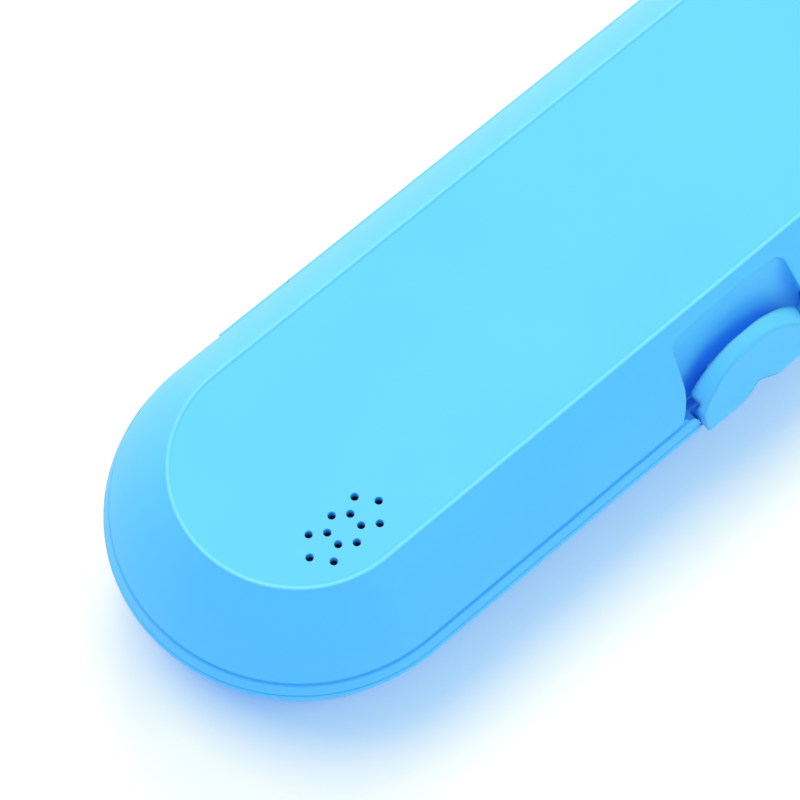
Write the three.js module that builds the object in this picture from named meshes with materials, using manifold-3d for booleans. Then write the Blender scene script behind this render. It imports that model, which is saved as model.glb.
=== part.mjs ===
// A hinged plastic case that carries an electric toothbrush, in millimetres.
// X runs along the case, -Y faces the latch, +Y faces the hinge and +Z is up.
// The origin is the centre of the flat underside.

import * as THREE from 'three';
import { mergeVertices } from 'three/addons/utils/BufferGeometryUtils.js';
import Module from 'manifold-3d';

const wasm = await Module();
wasm.setup();

// The whole case
const caseLength = 224;
const caseWidth = 70;
const topFaceHeight = 40;
const partingHeight = 22.85;
const wall = 2;
const seamGap = 0.3;
const overrun = 5;

// The lid
const lidRimInset = 1.4;
const topFaceInset = 12;
const lidWallBulge = 0.9;
const beadWidth = 1;
const beadCrownWidth = 0.4;
const beadHeight = 0.25;
const beadFootDrop = 0.2;

// The vents in the lid's top face
const ventDiameter = 1.45;
const ventFromEnd = 33.1;
const ventFromSide = 21.1;
const ventRowPitch = 3.25;
const ventInnerPitch = 1.4;
const ventStep = 2.6;

// The base
const baseRimInset = 1.35;
const bandHeight = 2.9;
const bandFootInset = 0.4;
const bandStep = 0.15;
const bellyDrop = 4.1;
const baseDraft = THREE.MathUtils.degToRad(18);
const undersideRounding = 7;
const tongueInset = 4.8;
const tongueWidth = 1;
const tongueHeight = 1.15;
const tongueBreakGap = 0.6;
const rimLedgeHeight = 2.8;
const rimLedgeSlope = 2.4;

// The hinge along the far side
const hingeLength = 134;
const hingeAxisInset = 2.8;
const barrelRadius = 1.65;
const baseKnuckleLength = 15.6;
const hingeRodRadius = 0.75;
const pinGap = 0.3;
const hingeReliefRadius = 2.5;
const hingeReliefInset = 0.8;
const webReach = 1.5;
const webDrop = 2.6;
const webAngle = THREE.MathUtils.degToRad(30);

// The recess in the lid, behind the latch
const recessLipInset = 10.6;
const recessLipDrop = 2;
const recessTopHalfWidth = 13.2;
const recessWaistHalfWidth = 14.3;
const recessWaistRise = 5.95;
const recessFlareHalfWidth = 15.3;
const recessFlareRise = 2.3;
const recessMouthHalfWidth = 17.2;
const recessCorner = 2;
const recessFootInset = 6.7;
const recessWall = 1.8;
const recessSkirtDrop = 2.7;
const catchThickness = 1;
const catchEdgeInset = 3;
const catchHalfWidth = 6.5;

// The latch, with insets from the case's side and rises from the parting plane
const latchHalfWidth = 13.1;
const latchArchRadius = 15.9;
const latchTopInset = 5.2;
const latchTopRise = 9.1;
const latchTopThickness = 2.7;
const latchTopFall = 1.2;
const latchLean = 3.6;
const hookInset = 4.3;
const hookRise = 1.95;
const throatInset = 1.8;
const throatRise = 1.45;
const throatFootInset = 2;
const throatFootDrop = 0.25;

// The latch's tail, measured from its pivot
const tailFrontRise = 0.3;
const tailDrop = 2.6;
const tailFootOut = 0.3;
const tailBackIn = 0.4;
const tailHeelIn = 1.6;
const tailHeelDrop = 1.5;
const tailWaistIn = 1.8;
const tailWaistRise = 0.8;
const tailCorner = 4;
const notchTopHalfWidth = 0.6;
const notchMouthHalfWidth = 6.8;
const notchRise = 1.95;

// The latch's pivot and its pocket in the base
const pivotInset = 1.6;
const pivotDrop = 4.65;
const latchPinRadius = 0.75;
const latchEndGap = 0.4;
const pocketDepth = 4.6;
const pocketDrop = 3.7;
const pocketWall = 1.5;
const cheekThickness = 2.8;
const pinSeatDepth = 1.7;
const sideSlotDepth = 2.7;
const sideSlotInset = 2.1;
const sideSlotNoseInset = 0.9;
const lugHalfWidth = 2;
const lugRadius = 1.45;

// The tray inside the base
const trayPlate = 1.6;
const trayWall = 1.4;
const trayGap = 0.5;
const handleWellRadius = 15;
const wellRimLand = 1.6;
const wellDivider = 2.8;
const headWellDepth = 14;
const headWellFromMiddle = 8;
const wellFloorAngle = THREE.MathUtils.degToRad(12);

// The soft pads and the saddle that hold the handle
const padThickness = 1.5;
const padLength = 14;
const padHalfAngle = THREE.MathUtils.degToRad(68);
const innerPadFromMiddle = 8;
const outerPadFromEnd = 50;
const saddleFromEnd = 62;
const saddleLength = 8;
const saddleTopDrop = 2.4;
const neckRadius = 6.5;

// How finely round shapes are cut into flats
const endSteps = 24;
const wellEndSteps = 10;
const lidWallSteps = 5;
const cornerSteps = 5;
const wellSteps = 7;
const barrelSides = 24;
const boreSides = 16;
const ventSides = 10;

// Sizes that follow from those above
const sideY = caseWidth / 2;
const endCentre = (caseLength - caseWidth) / 2;
const lidRimZ = partingHeight + seamGap / 2;
const baseRimZ = partingHeight - seamGap / 2;
const lidRimRadius = sideY - lidRimInset;
const beadOuterRadius = sideY - topFaceInset;
const lidFootZ = topFaceHeight - beadFootDrop;
const lidSlope = Math.atan2(lidFootZ - lidRimZ, lidRimRadius - beadOuterRadius);
const lidWallAcross = wall / Math.sin(lidSlope);
const catchTopZ = lidRimZ + catchThickness;
const recessLipZ = topFaceHeight - recessLipDrop;
const bellyZ = baseRimZ - bellyDrop;
const baseWallAcross = wall / Math.cos(baseDraft);
const tongueRadius = sideY - tongueInset;
const hingeY = sideY - hingeAxisInset;
const hingeBoreRadius = hingeRodRadius + pinGap;
const pivotY = pivotInset - sideY;
const pivotZ = partingHeight - pivotDrop;
const latchBoreRadius = latchPinRadius + pinGap;
const pocketHalfWidth = latchHalfWidth + latchEndGap;
const sideSlotHalfWidth = pocketHalfWidth + cheekThickness;
const pocketBackY = pocketDepth - sideY;
const trayRadius = sideY - pocketDepth - pocketWall - trayGap;
const trayTopZ = wall + seamGap + (handleWellRadius + trayWall) * Math.cos(wellFloorAngle);
const handleWellY = trayRadius - wellRimLand - handleWellRadius;
const headWellHalfWidth = trayRadius - handleWellRadius - wellRimLand - wellDivider / 2;
const headWellY = wellRimLand + headWellHalfWidth - trayRadius;
const padOuterRadius = handleWellRadius - seamGap;

// The radius of the lid's outer wall at a height
function lidWallRadius(z) {
  const share = (z - lidRimZ) / (lidFootZ - lidRimZ);
  const straight = THREE.MathUtils.lerp(lidRimRadius, beadOuterRadius, share);
  return straight + lidWallBulge * (1 - (share + share - 1) ** 2);
}

// The radius of the base's outer wall at a height
function baseWallRadius(z) {
  return sideY - (bellyZ - z) * Math.tan(baseDraft);
}

// Turns a closed geometry into a solid that can be joined and cut
function solidOf(geometry) {
  const bare = geometry.clone();
  bare.deleteAttribute('normal');
  bare.deleteAttribute('uv');
  const merged = mergeVertices(bare);
  const mesh = new wasm.Mesh({
    numProp: 3,
    vertProperties: new Float32Array(merged.attributes.position.array),
    triVerts: new Uint32Array(merged.index.array),
  });
  return new wasm.Manifold(mesh);
}

// Turns a solid back into a geometry with flat faces
function geometryOf(solid) {
  const mesh = solid.getMesh();
  const geometry = new THREE.BufferGeometry();
  geometry.setAttribute('position', new THREE.Float32BufferAttribute(mesh.vertProperties, 3));
  geometry.setIndex(Array.from(mesh.triVerts));
  const flat = geometry.toNonIndexed();
  flat.computeVertexNormals();
  return flat;
}

// A round-ended, straight-sided solid from its [radius, height] levels, lowest first
function pillSolid(levels, halfStraight = endCentre, centreX = 0, centreY = 0, steps = endSteps) {
  const positions = [];
  for (const [radius, z] of levels) {
    for (const side of [1, -1]) {
      for (let step = 0; step <= steps; step++) {
        const angle = Math.PI * (step / steps - side / 2);
        const x = centreX + side * halfStraight + radius * Math.cos(angle);
        positions.push(x, centreY + radius * Math.sin(angle), z);
      }
    }
  }
  const around = 2 * (steps + 1);
  const last = (levels.length - 1) * around;
  const faces = [];
  for (let level = 0; level < last; level += around) {
    for (let i = 0; i < around; i++) {
      const j = (i + 1) % around;
      faces.push(level + i, level + j, level + around + j);
      faces.push(level + i, level + around + j, level + around + i);
    }
  }
  for (let i = 1; i < around - 1; i++) {
    faces.push(0, i + 1, i);
    faces.push(last, last + i, last + i + 1);
  }
  const geometry = new THREE.BufferGeometry();
  geometry.setAttribute('position', new THREE.Float32BufferAttribute(positions, 3));
  geometry.setIndex(faces);
  return solidOf(geometry);
}

// A box between its lowest and highest corners
function boxSolid(low, high) {
  const size = high.map((value, i) => value - low[i]);
  const box = new THREE.BoxGeometry(...size);
  box.translate(...low.map((value, i) => value + size[i] / 2));
  return solidOf(box);
}

// An outline of [y, z] points drawn out along X
function prismAlongX(points, lowX, highX) {
  const shape = new THREE.Shape(points.map(([y, z]) => new THREE.Vector2(y, z)));
  const prism = new THREE.ExtrudeGeometry(shape, { depth: highX - lowX, bevelEnabled: false });
  const yAxis = new THREE.Vector3(0, 1, 0);
  const zAxis = new THREE.Vector3(0, 0, 1);
  const xAxis = new THREE.Vector3(1, 0, 0);
  prism.applyMatrix4(new THREE.Matrix4().makeBasis(yAxis, zAxis, xAxis));
  prism.translate(lowX, 0, 0);
  return solidOf(prism);
}

// An outline of [x, z] points drawn out along Y, falling or rising by a slope on the way
function prismAlongY(points, lowY, highY, slope = 0, levelY = 0) {
  const shape = new THREE.Shape(points.map(([x, z]) => new THREE.Vector2(x, z)));
  const prism = new THREE.ExtrudeGeometry(shape, { depth: highY - lowY, bevelEnabled: false });
  prism.rotateX(Math.PI / 2);
  prism.translate(0, highY, 0);
  const lean = new THREE.Matrix4().set(
    1, 0, 0, 0,
    0, 1, 0, 0,
    0, slope, 1, -slope * levelY,
    0, 0, 0, 1,
  );
  prism.applyMatrix4(lean);
  return solidOf(prism);
}

// An outline of [x, y] points drawn out upwards
function prismAlongZ(points, lowZ, highZ) {
  const shape = new THREE.Shape(points.map(([x, y]) => new THREE.Vector2(x, y)));
  const prism = new THREE.ExtrudeGeometry(shape, { depth: highZ - lowZ, bevelEnabled: false });
  prism.translate(0, 0, lowZ);
  return solidOf(prism);
}

// A round bar along X
function barAlongX(radius, lowX, highX, y, z, sides) {
  const bar = new THREE.CylinderGeometry(radius, radius, highX - lowX, sides);
  bar.rotateZ(Math.PI / 2);
  bar.translate((lowX + highX) / 2, y, z);
  return solidOf(bar);
}

// Points on an arc between two angles
function arcPoints(centreA, centreB, radius, from, to, steps) {
  const points = [];
  for (let step = 0; step <= steps; step++) {
    const angle = THREE.MathUtils.lerp(from, to, step / steps);
    points.push([centreA + radius * Math.cos(angle), centreB + radius * Math.sin(angle)]);
  }
  return points;
}

// Points on a curve with one control point
function bendPoints(from, control, to, steps) {
  const curve = new THREE.QuadraticBezierCurve(
    new THREE.Vector2(...from),
    new THREE.Vector2(...control),
    new THREE.Vector2(...to),
  );
  return curve.getPoints(steps).map((point) => [point.x, point.y]);
}

// The same outline mirrored to -X and joined to itself
function mirroredOutline(right) {
  const left = right.map(([x, z]) => [-x, z]).reverse();
  return [...right, ...left];
}

// The stretches of the hinge that belong to the base and to the lid
function knuckleSpans() {
  const half = hingeLength / 2;
  const inner = half - baseKnuckleLength;
  return {
    base: [[-half, -inner], [inner, half]],
    lid: [[-inner + seamGap, inner - seamGap]],
  };
}

// One hinge barrel
function knuckle([lowX, highX]) {
  return barAlongX(barrelRadius, lowX, highX, hingeY, partingHeight, barrelSides);
}

// The web that carries one of the base's barrels
function knuckleWeb([lowX, highX]) {
  const tangentY = hingeY + barrelRadius * Math.cos(webAngle);
  const tangentZ = partingHeight - barrelRadius * Math.sin(webAngle);
  const footZ = partingHeight - webDrop;
  const section = [
    [hingeY - webReach, baseRimZ],
    [hingeY, baseRimZ],
    [tangentY, tangentZ],
    [tangentY - (tangentZ - footZ) * Math.tan(webAngle), footZ],
    [hingeY - webReach, footZ],
  ];
  return prismAlongX(section, lowX, highX);
}

// Room round one barrel of the other shell
function knuckleRoom([lowX, highX]) {
  const radius = barrelRadius + seamGap;
  return barAlongX(radius, lowX - seamGap, highX + seamGap, hingeY, partingHeight, barrelSides);
}

// Room in the base's rim for the edge of the lid as it swings down outside the hinge
function hingeRelief() {
  const half = caseLength / 2;
  const room = barAlongX(hingeReliefRadius, -half, half, hingeY, partingHeight, barrelSides);
  const low = [-half, hingeY - hingeReliefInset, 0];
  return room.intersect(boxSolid(low, [half, caseWidth, topFaceHeight]));
}

// The bore for the hinge rod, right through every barrel
function hingeBore() {
  const half = hingeLength / 2 + pinGap;
  return barAlongX(hingeBoreRadius, -half, half, hingeY, partingHeight, boreSides);
}

// The front view of the latch recess, widened all round by a margin
function recessElevation(margin, lowZ) {
  const top = recessTopHalfWidth + margin;
  const waist = recessWaistHalfWidth + margin;
  const mouth = recessMouthHalfWidth + margin;
  const topZ = recessLipZ + margin;
  const waistZ = lidRimZ + recessWaistRise;
  const bend = [recessFlareHalfWidth + margin, lidRimZ + recessFlareRise];
  const flare = bendPoints([mouth, lidRimZ], bend, [waist, waistZ], cornerSteps);
  const cornerX = top - recessCorner;
  const cornerZ = topZ - recessCorner;
  const corner = arcPoints(cornerX, cornerZ, recessCorner, 0, Math.PI / 2, cornerSteps);
  return mirroredOutline([[mouth, lowZ], ...flare, ...corner]);
}

// The place of the recess's slanted back wall at a height
function recessBackY(z) {
  const share = (z - catchTopZ) / (recessLipZ - catchTopZ);
  return THREE.MathUtils.lerp(recessFootInset, recessLipInset, share) - sideY;
}

// The lid's wall behind and round the recess
function recessHousing() {
  const outY = -sideY - overrun;
  const highZ = topFaceHeight;
  const section = [
    [outY, lidRimZ],
    [recessBackY(lidRimZ) + recessWall, lidRimZ],
    [recessBackY(highZ) + recessWall, highZ],
    [outY, highZ],
  ];
  const front = prismAlongY(recessElevation(recessWall, lidRimZ), outY, 0);
  return front.intersect(prismAlongX(section, outY, -outY));
}

// A slanted strip along the recess's back wall between two heights, widened by a margin
function recessBackStrip(halfWidth, margin, lowZ, highZ) {
  const section = [
    [recessBackY(lowZ) - margin, lowZ],
    [recessBackY(lowZ) + recessWall + margin, lowZ],
    [recessBackY(highZ) + recessWall + margin, highZ],
    [recessBackY(highZ) - margin, highZ],
  ];
  return prismAlongX(section, -halfWidth, halfWidth);
}

// What the recess takes away, but for the catch in its middle that the latch hooks over
function recessCut() {
  const outY = -sideY - overrun;
  const lowZ = lidRimZ - overrun;
  const highZ = topFaceHeight;
  const section = [
    [outY, lowZ],
    [recessBackY(lowZ), lowZ],
    [recessBackY(highZ), highZ],
    [outY, highZ],
  ];
  const low = [-catchHalfWidth, catchEdgeInset - sideY, lowZ];
  const catchBox = boxSolid(low, [catchHalfWidth, 0, catchTopZ]);
  const front = prismAlongY(recessElevation(0, lowZ), outY, 0);
  return front.intersect(prismAlongX(section, outY, -outY)).subtract(catchBox);
}

// The centres of the vents: rows across the case, further apart in steps along it
function ventPlaces() {
  const centreX = ventFromEnd - caseLength / 2;
  const centreY = ventFromSide - sideY;
  const rows = [
    [0, [-ventRowPitch, ventRowPitch]],
    [ventStep, [-ventInnerPitch, ventInnerPitch]],
    [ventStep + ventStep, [-ventRowPitch, ventRowPitch]],
    [ventStep + ventStep + ventStep, [0]],
  ];
  const places = [];
  for (const [along, offsets] of rows) {
    for (const x of along > 0 ? [-along, along] : [0]) {
      for (const y of offsets) {
        places.push([centreX + x, centreY + y]);
      }
    }
  }
  return places;
}

// One round vent right through the lid's top
function ventHole([x, y]) {
  const length = wall + wall;
  const hole = new THREE.CylinderGeometry(ventDiameter / 2, ventDiameter / 2, length, ventSides);
  hole.rotateX(Math.PI / 2);
  hole.translate(x, y, topFaceHeight - wall / 2);
  return solidOf(hole);
}

// The full outer form of the lid, with the bead round its top face
function lidForm() {
  const levels = [];
  for (let step = 0; step <= lidWallSteps; step++) {
    const z = THREE.MathUtils.lerp(lidRimZ, lidFootZ, step / lidWallSteps);
    levels.push([lidWallRadius(z), z]);
  }
  const crownInset = (beadWidth - beadCrownWidth) / 2;
  levels.push([beadOuterRadius - crownInset, topFaceHeight + beadHeight]);
  levels.push([beadOuterRadius - crownInset - beadCrownWidth, topFaceHeight + beadHeight]);
  levels.push([beadOuterRadius - beadWidth, topFaceHeight]);
  return pillSolid(levels);
}

// The hollow under the lid
function lidHollow() {
  const levels = [[lidRimRadius - lidWallAcross, lidRimZ - overrun]];
  for (let step = 0; step <= lidWallSteps; step++) {
    const z = THREE.MathUtils.lerp(lidRimZ, topFaceHeight - wall, step / lidWallSteps);
    levels.push([lidWallRadius(z) - lidWallAcross, z]);
  }
  return pillSolid(levels);
}

// The skirt that carries the recess's back wall down behind the base's rim
function recessSkirt() {
  const half = sideSlotHalfWidth - seamGap;
  return recessBackStrip(half, 0, lidRimZ - recessSkirtDrop, catchTopZ);
}

// The lid: a domed shell with a bordered top, vents, a latch recess and one long hinge barrel
function makeLid() {
  const form = lidForm();
  const spans = knuckleSpans();
  let lid = form.subtract(lidHollow());
  lid = lid.add(recessHousing().intersect(form)).subtract(recessCut()).add(recessSkirt());
  for (const span of spans.lid) {
    lid = lid.add(knuckle(span));
  }
  for (const span of spans.base) {
    lid = lid.subtract(knuckleRoom(span));
  }
  for (const place of ventPlaces()) {
    lid = lid.subtract(ventHole(place));
  }
  return lid.subtract(hingeBore());
}

// The centre of the rounding under the base, as [radius, height]
function undersideCentre() {
  const cornerAngle = Math.PI / 2 + baseDraft;
  const tangent = undersideRounding / Math.tan(cornerAngle / 2);
  return [baseWallRadius(0) - tangent, undersideRounding];
}

// The full outer form of the base: widest at its belly, under the band that slants in to the rim
function baseForm() {
  const [centreR, centreZ] = undersideCentre();
  const levels = arcPoints(centreR, centreZ, undersideRounding, -Math.PI / 2, -baseDraft, cornerSteps);
  levels.push([sideY, bellyZ]);
  levels.push([sideY - bandFootInset - bandStep, baseRimZ - bandHeight - bandStep]);
  levels.push([sideY - bandFootInset, baseRimZ - bandHeight]);
  levels.push([sideY - baseRimInset, baseRimZ]);
  return pillSolid(levels);
}

// The hollow inside the base, drawn in under the rim
function baseHollow() {
  const [centreR, centreZ] = undersideCentre();
  const radius = undersideRounding - wall;
  const levels = arcPoints(centreR, centreZ, radius, -Math.PI / 2, -baseDraft, cornerSteps);
  const ledgeZ = baseRimZ - rimLedgeHeight;
  const slopeZ = ledgeZ - rimLedgeSlope;
  levels.push([baseWallRadius(slopeZ) - baseWallAcross, slopeZ]);
  levels.push([tongueRadius - tongueWidth, ledgeZ]);
  levels.push([tongueRadius - tongueWidth, baseRimZ + tongueHeight + overrun]);
  return pillSolid(levels);
}

// The tongue that lines up the lid's rim, left out where the latch recess comes down
function tongueForm() {
  const levels = [
    [tongueRadius, baseRimZ - rimLedgeHeight],
    [tongueRadius, baseRimZ + tongueHeight],
  ];
  const halfBreak = recessMouthHalfWidth + recessWall + tongueBreakGap;
  const gap = boxSolid([-halfBreak, -sideY, baseRimZ], [halfBreak, 0, baseRimZ + overrun]);
  return pillSolid(levels).subtract(gap);
}

// The walls of the latch's pocket inside the base
function pocketHousing() {
  const half = sideSlotHalfWidth + pocketWall;
  const low = [-half, -sideY, pivotZ - pocketDrop - pocketWall];
  return boxSolid(low, [half, pocketBackY + pocketWall, baseRimZ]);
}

// What the latch's pocket takes away from the base, with a shallow slot beside each end of the latch
// and room for the lid's skirt behind it
function pocketCut() {
  const low = [-pocketHalfWidth, -sideY - overrun, pivotZ - pocketDrop];
  const pocket = boxSolid(low, [pocketHalfWidth, pocketBackY, baseRimZ + overrun]);
  const slot = mirroredOutline([
    [pocketHalfWidth, sideSlotNoseInset - sideY],
    [sideSlotHalfWidth, sideSlotInset - sideY],
    [sideSlotHalfWidth, recessBackY(baseRimZ)],
  ]);
  const floorZ = baseRimZ - sideSlotDepth;
  const room = recessBackStrip(sideSlotHalfWidth, seamGap, floorZ, baseRimZ + overrun);
  return pocket.add(prismAlongZ(slot, floorZ, baseRimZ + overrun)).add(room);
}

// The lug that carries the middle of the latch pin
function latchLug() {
  const round = barAlongX(lugRadius, -lugHalfWidth, lugHalfWidth, pivotY, pivotZ, barrelSides);
  const low = [-lugHalfWidth, pivotY, pivotZ - lugRadius];
  const high = [lugHalfWidth, pocketBackY + pocketWall, pivotZ + lugRadius];
  return round.add(boxSolid(low, high));
}

// The base: a deep shell with a band and tongue at its rim, the latch's pocket and two hinge barrels
function makeBase() {
  const form = baseForm();
  const spans = knuckleSpans();
  const seat = pocketHalfWidth + pinSeatDepth;
  let base = form.add(tongueForm()).subtract(baseHollow());
  base = base.add(pocketHousing().intersect(form)).subtract(pocketCut()).add(latchLug());
  base = base.subtract(barAlongX(latchBoreRadius, -seat, seat, pivotY, pivotZ, boreSides));
  base = base.subtract(hingeRelief());
  for (const span of spans.base) {
    base = base.add(knuckle(span)).add(knuckleWeb(span));
  }
  for (const span of spans.lid) {
    base = base.subtract(knuckleRoom(span));
  }
  return base.subtract(hingeBore());
}

// The latch's section: a leaning plate with a hook at its back and a rounded tail round the pivot
function latchSection() {
  const topY = latchTopInset - sideY;
  const topZ = partingHeight + latchTopRise;
  const frontY = topY - latchTopThickness;
  const tailFrontY = frontY - latchLean;
  const tailZ = pivotZ - tailDrop;
  const tail = bendPoints(
    [tailFrontY, pivotZ + tailFrontRise],
    [tailFrontY, tailZ],
    [pivotY - tailFootOut, tailZ],
    cornerSteps,
  );
  return [
    [topY, topZ],
    [frontY, topZ - latchTopFall],
    ...tail,
    [pivotY + tailBackIn, tailZ],
    [pivotY + tailHeelIn, pivotZ - tailHeelDrop],
    [pivotY + tailWaistIn, pivotZ + tailWaistRise],
    [throatFootInset - sideY, partingHeight - throatFootDrop],
    [throatInset - sideY, partingHeight + throatRise],
    [hookInset - sideY, partingHeight + hookRise],
  ];
}

// The latch's front view, with its arched top
function latchArch() {
  const centreZ = partingHeight + latchTopRise - latchArchRadius;
  const end = Math.acos(latchHalfWidth / latchArchRadius);
  const arch = arcPoints(0, centreZ, latchArchRadius, end, Math.PI - end, cornerSteps * 4);
  const lowZ = pivotZ - tailDrop - overrun;
  return [[latchHalfWidth, lowZ], ...arch, [-latchHalfWidth, lowZ]];
}

// The latch's front view, with its rounded lower corners
function latchFoot() {
  const cornerX = latchHalfWidth - tailCorner;
  const cornerZ = pivotZ - tailDrop + tailCorner;
  const corner = arcPoints(cornerX, cornerZ, tailCorner, -Math.PI / 2, 0, cornerSteps);
  return mirroredOutline([...corner, [latchHalfWidth, topFaceHeight]]);
}

// The flared notch between the latch's two lobes
function latchNotch() {
  const lowZ = pivotZ - tailDrop - seamGap;
  const highZ = pivotZ + notchRise;
  return mirroredOutline([[notchMouthHalfWidth, lowZ], [notchTopHalfWidth, highZ]]);
}

// Room behind the notch for the lug, also while the latch turns
function lugRoom() {
  const half = lugHalfWidth + seamGap;
  const radius = lugRadius + seamGap;
  const round = barAlongX(radius, -half, half, pivotY, pivotZ, barrelSides);
  const low = [-half, pivotY, pivotZ - tailDrop - seamGap];
  return round.add(boxSolid(low, [half, 0, pivotZ + radius]));
}

// The latch: an arched thumb plate that hooks over the lid's catch and turns on its pin
function makeLatch() {
  const outY = -sideY - overrun;
  const topY = latchTopInset - sideY;
  const section = prismAlongX(latchSection(), -latchHalfWidth, latchHalfWidth);
  const arch = prismAlongY(latchArch(), outY, 0, latchTopFall / latchTopThickness, topY);
  const foot = prismAlongY(latchFoot(), outY, 0);
  const notch = prismAlongY(latchNotch(), outY, 0);
  const bore = barAlongX(latchBoreRadius, -sideY, sideY, pivotY, pivotZ, boreSides);
  const plate = section.intersect(arch).intersect(foot);
  return plate.subtract(notch).subtract(lugRoom()).subtract(bore);
}

// A round-bottomed well, as wide and deep as given, or its outer form when it is closed at the top
function wellForm(halfWidth, depth, topZ, halfStraight, centreX, centreY) {
  const levels = [];
  for (let step = 0; step <= wellSteps; step++) {
    const angle = THREE.MathUtils.lerp(wellFloorAngle, Math.PI / 2, step / wellSteps);
    levels.push([halfWidth * Math.sin(angle), trayTopZ - depth * Math.cos(angle)]);
  }
  if (topZ > trayTopZ) {
    levels.push([halfWidth, topZ]);
  }
  return pillSolid(levels, halfStraight, centreX, centreY, wellEndSteps);
}

// The three wells, either as hollows or with the tray's wall round them
function trayWells(margin, topZ) {
  const headFrom = headWellFromMiddle + headWellHalfWidth;
  const headX = (headFrom + endCentre) / 2;
  const headHalf = (endCentre - headFrom) / 2;
  const handleRadius = handleWellRadius + margin;
  const handle = wellForm(handleRadius, handleRadius, topZ, endCentre, 0, handleWellY);
  const headWidth = headWellHalfWidth + margin;
  const headDepth = headWellDepth + margin;
  const right = wellForm(headWidth, headDepth, topZ, headHalf, headX, headWellY);
  const left = wellForm(headWidth, headDepth, topZ, headHalf, -headX, headWellY);
  return handle.add(right).add(left);
}

// The tray: one plate with a long well for the handle and two shorter ones for brush heads
function makeTray() {
  const plate = pillSolid([[trayRadius, trayTopZ - trayPlate], [trayRadius, trayTopZ]]);
  return plate.add(trayWells(trayWall, trayTopZ)).subtract(trayWells(0, trayTopZ + overrun));
}

// Points across the round bottom of the handle's well, at a radius and up to an angle each side
function wellBottom(radius, highAngle) {
  const down = -Math.PI / 2;
  const right = arcPoints(0, 0, radius, down + wellFloorAngle, down + highAngle, wellSteps);
  const left = right.map(([y, z]) => [-y, z]).reverse();
  return [...left, ...right].map(([y, z]) => [handleWellY + y, trayTopZ + z]);
}

// A curved pad that lines the handle's well
function makePad(place) {
  const outer = wellBottom(padOuterRadius, padHalfAngle);
  const inner = wellBottom(padOuterRadius - padThickness, padHalfAngle).reverse();
  return prismAlongX([...outer, ...inner], place - padLength / 2, place + padLength / 2);
}

// The saddle across the handle's well that holds the brush's neck
function makeSaddle(place) {
  const outer = wellBottom(padOuterRadius, Math.acos(saddleTopDrop / padOuterRadius));
  const neckAngle = Math.asin(saddleTopDrop / neckRadius);
  const steps = wellSteps + wellSteps;
  const neck = arcPoints(handleWellY, trayTopZ, neckRadius, -neckAngle, neckAngle - Math.PI, steps);
  return prismAlongX([...outer, ...neck], place - saddleLength / 2, place + saddleLength / 2);
}

// The steel rod through the hinge's barrels
function makeHingeRod() {
  const half = hingeLength / 2 - pinGap;
  return barAlongX(hingeRodRadius, -half, half, hingeY, partingHeight, boreSides);
}

// The steel pin that the latch turns on
function makeLatchPin() {
  const half = pocketHalfWidth + pinSeatDepth - pinGap;
  return barAlongX(latchPinRadius, -half, half, pivotY, pivotZ, boreSides);
}

// Sky-blue moulded plastic
function casePlastic() {
  return new THREE.MeshStandardMaterial({ color: 0x69d3ff, roughness: 0.4, metalness: 0 });
}

// White moulded plastic
function trayPlastic() {
  return new THREE.MeshStandardMaterial({ color: 0xe8eef1, roughness: 0.45, metalness: 0 });
}

// Soft grey rubber
function padRubber() {
  return new THREE.MeshStandardMaterial({ color: 0x9fb4c0, roughness: 0.75, metalness: 0 });
}

// Bright drawn steel
function pinSteel() {
  return new THREE.MeshStandardMaterial({ color: 0xb9bdc1, roughness: 0.3, metalness: 1 });
}

// Adds one named piece to a group
function addPiece(group, name, solid, material) {
  const mesh = new THREE.Mesh(geometryOf(solid), material);
  mesh.name = name;
  group.add(mesh);
}

const toothbrushCase = new THREE.Group();
addPiece(toothbrushCase, 'base_shell', makeBase(), casePlastic());
addPiece(toothbrushCase, 'lid_shell', makeLid(), casePlastic());
addPiece(toothbrushCase, 'latch', makeLatch(), casePlastic());
addPiece(toothbrushCase, 'hinge_rod', makeHingeRod(), pinSteel());
addPiece(toothbrushCase, 'latch_pin', makeLatchPin(), pinSteel());
addPiece(toothbrushCase, 'inner_tray', makeTray(), trayPlastic());
addPiece(toothbrushCase, 'inner_grip_pad', makePad(innerPadFromMiddle), padRubber());
addPiece(toothbrushCase, 'outer_grip_pad', makePad(caseLength / 2 - outerPadFromEnd), padRubber());
addPiece(toothbrushCase, 'neck_saddle', makeSaddle(saddleFromEnd - caseLength / 2), padRubber());

export default toothbrushCase;
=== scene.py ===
import math

import bmesh
import bpy
from mathutils import Matrix, Vector, geometry


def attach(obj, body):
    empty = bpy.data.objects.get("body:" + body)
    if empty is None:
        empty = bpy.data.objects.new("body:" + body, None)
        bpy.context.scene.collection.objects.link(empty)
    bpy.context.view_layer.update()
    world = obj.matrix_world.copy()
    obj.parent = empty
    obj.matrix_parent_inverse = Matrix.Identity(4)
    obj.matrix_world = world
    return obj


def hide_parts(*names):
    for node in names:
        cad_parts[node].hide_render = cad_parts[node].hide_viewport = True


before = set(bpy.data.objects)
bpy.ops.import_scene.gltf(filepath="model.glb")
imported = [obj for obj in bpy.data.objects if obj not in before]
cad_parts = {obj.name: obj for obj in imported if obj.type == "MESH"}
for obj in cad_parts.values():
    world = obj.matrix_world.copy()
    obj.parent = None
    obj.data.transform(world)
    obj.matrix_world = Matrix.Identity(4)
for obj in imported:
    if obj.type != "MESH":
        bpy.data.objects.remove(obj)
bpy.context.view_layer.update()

# The shapes are made in millimetres, in the part's own frame, and each finished piece is brought to
# metres. X runs along the case, -Y faces the latch, +Y faces the hinge and Z is up.

METRES = 0.001

# The whole case
END_X = 77.0
SIDE = 35.0
TOP_Z = 40.0
LID_RIM_Z = 23.0
BASE_RIM_Z = 22.7
WALL = 2.0
SEAM = 0.3

# How far a cutting form reaches past the piece
BEYOND = 6.0

# How far apart faces are set so that they don't share a plane
HAIR = 0.01

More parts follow.
